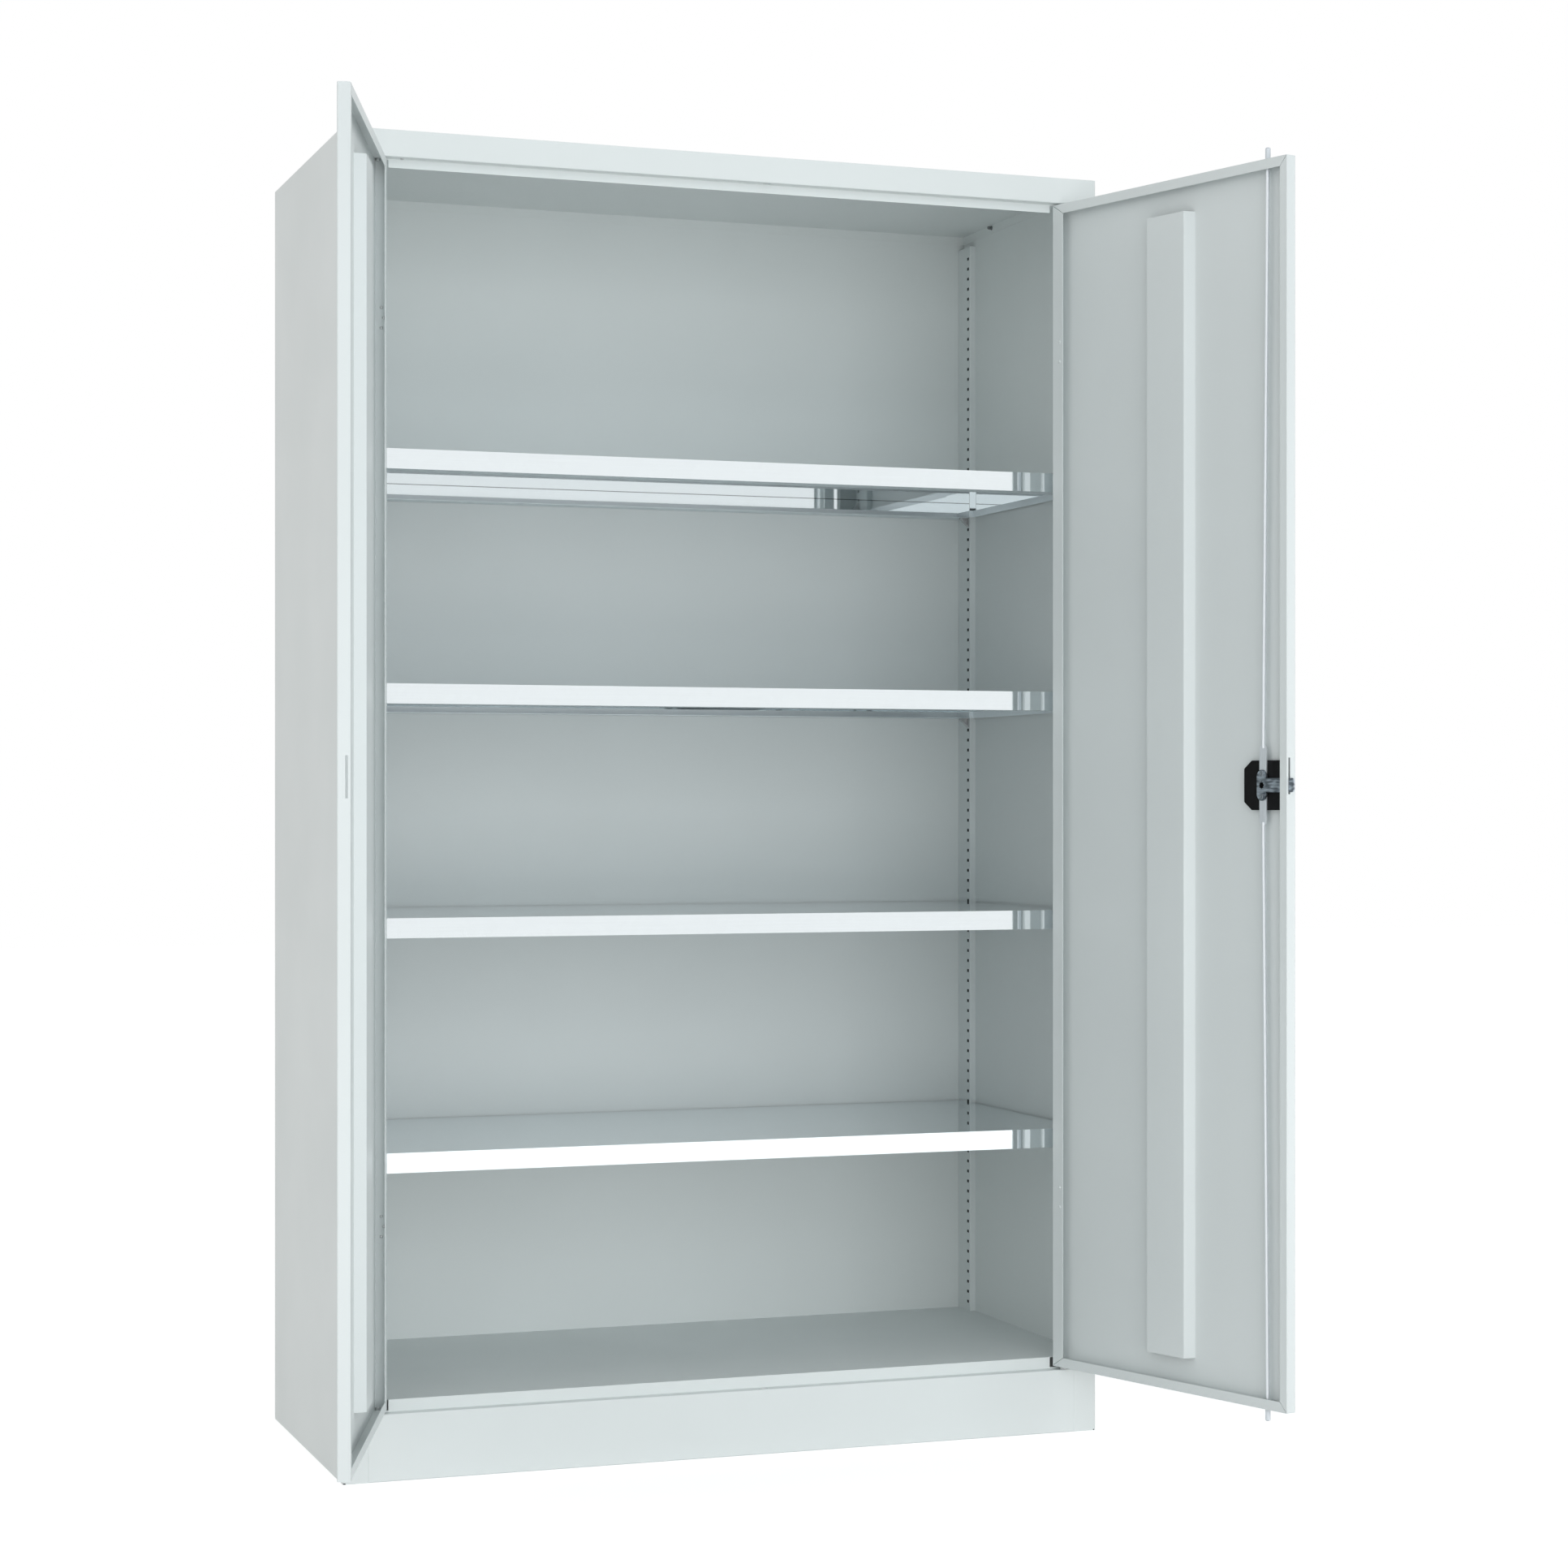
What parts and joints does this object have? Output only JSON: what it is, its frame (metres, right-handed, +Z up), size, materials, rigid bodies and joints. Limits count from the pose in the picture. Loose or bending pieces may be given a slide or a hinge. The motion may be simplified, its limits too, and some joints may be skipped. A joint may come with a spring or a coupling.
{
  "type": "storage cabinet",
  "caption": "Tall light-grey steel storage cabinet with two hinged doors swung open, galvanised shelves hung on perforated strips and a rod lock worked by a turning handle.",
  "frame": {"origin": "middle of the cabinet's front edge at floor level, on the plinth's foot", "axes": "+X to the right seen from the front, +Y to the back, +Z up"},
  "size_m": [1.4185, 1.1312, 2],
  "materials": {
    "body_paint": "fine light-grey powder coat, satin",
    "door_paint": "fine light-grey powder coat, satin",
    "strip_paint": "light-grey powder coat, satin",
    "galvanised_shelf": "bright galvanised sheet, lightly spangled",
    "zinc_clip": "zinc plated",
    "zinc_fixing": "zinc plated",
    "zinc_lock": "zinc plated, slightly dull",
    "dark_spindle": "blackened steel",
    "lock_plastic": "fine-grained black plastic",
    "tip_plastic": "grey plastic cap",
    "bush_plastic": "grey plastic",
    "button_plastic": "light-grey plastic",
    "glide_plastic": "black plastic",
    "cylinder_chrome": "chromed"
  },
  "bodies": {
    "cabinet": {"back_panel": "body_paint", "floor_panel": "body_paint", "header_rail": "body_paint", "left_bottom_bush": "bush_plastic", "left_front_glide": "glide_plastic", "left_front_strip": "strip_paint", "left_header_button": "button_plastic", "left_rear_glide": "glide_plastic", "left_rear_strip": "strip_paint", "left_side_panel": "body_paint", "left_top_bush": "bush_plastic", "plinth_rail": "body_paint", "right_bottom_bush": "bush_plastic", "right_front_glide": "glide_plastic", "right_front_strip": "strip_paint", "right_rear_glide": "glide_plastic", "right_rear_strip": "strip_paint", "right_side_panel": "body_paint", "right_top_bush": "bush_plastic", "shelf_1": "galvanised_shelf", "shelf_1_clips": "zinc_clip", "shelf_2": "galvanised_shelf", "shelf_2_clips": "zinc_clip", "shelf_3": "galvanised_shelf", "shelf_3_clips": "zinc_clip", "shelf_4": "galvanised_shelf", "shelf_4_clips": "zinc_clip", "top_panel": "body_paint"},
    "left_door": {"left_bottom_pin": "zinc_fixing", "left_door_panel": "door_paint", "left_door_stiffener": "door_paint", "left_hinge_rivets": "zinc_fixing", "left_lower_hinge_plate": "zinc_fixing", "left_top_pin": "zinc_fixing", "left_upper_hinge_plate": "zinc_fixing"},
    "right_door": {"handle_rosette": "lock_plastic", "lock_case": "lock_plastic", "right_bottom_pin": "zinc_fixing", "right_door_panel": "door_paint", "right_door_stiffener": "door_paint", "right_hinge_rivets": "zinc_fixing", "right_lower_hinge_plate": "zinc_fixing", "right_top_pin": "zinc_fixing", "right_upper_hinge_plate": "zinc_fixing"},
    "handle": {"lock_cam_pins": "zinc_lock", "lock_cam_plate": "zinc_lock", "lock_spindle": "dark_spindle", "outside_handle": "lock_plastic"},
    "upper_rod": {"upper_rod": "zinc_lock", "upper_rod_tip": "tip_plastic"},
    "lower_rod": {"lower_rod": "zinc_lock", "lower_rod_tip": "tip_plastic"},
    "lock_cylinder": {"lock_cylinder": "cylinder_chrome"}
  },
  "joints": [
    {"name": "left_door_hinge", "type": "hinge", "parent": "cabinet", "child": "left_door", "pos_m": [-0.5475, 0.006, 0.105], "axis": [0, 0, 1], "range_deg": [0, 106]},
    {"name": "right_door_hinge", "type": "hinge", "parent": "cabinet", "child": "right_door", "pos_m": [0.5475, 0.006, 0.105], "axis": [0, 0, -1], "range_deg": [0, 106]},
    {"name": "handle_turn", "type": "hinge", "parent": "right_door", "child": "handle", "pos_m": [0.67594, -0.46224, 1.03], "axis": [-0.9613, -0.2756, 0], "range_deg": [0, 90]},
    {"name": "upper_rod_pin", "type": "hinge", "parent": "handle", "child": "upper_rod", "pos_m": [0.677, -0.46193, 1.047], "axis": [-0.9613, -0.2756, 0], "range_deg": [-91.24, 0]},
    {"name": "lower_rod_pin", "type": "hinge", "parent": "handle", "child": "lower_rod", "pos_m": [0.677, -0.46193, 1.013], "axis": [-0.9613, -0.2756, 0], "range_deg": [-91.27, 0]},
    {"name": "key_turn", "type": "hinge", "parent": "handle", "child": "lock_cylinder", "pos_m": [0.71208, -0.45187, 1.03], "axis": [-0.9613, -0.2756, 0], "range_deg": [0, 90]}
  ],
  "couplings": [
    {"joint": "upper_rod_pin", "follows": "handle_turn", "ratio": -1.0115},
    {"joint": "lower_rod_pin", "follows": "handle_turn", "ratio": -1.0118}
  ]
}
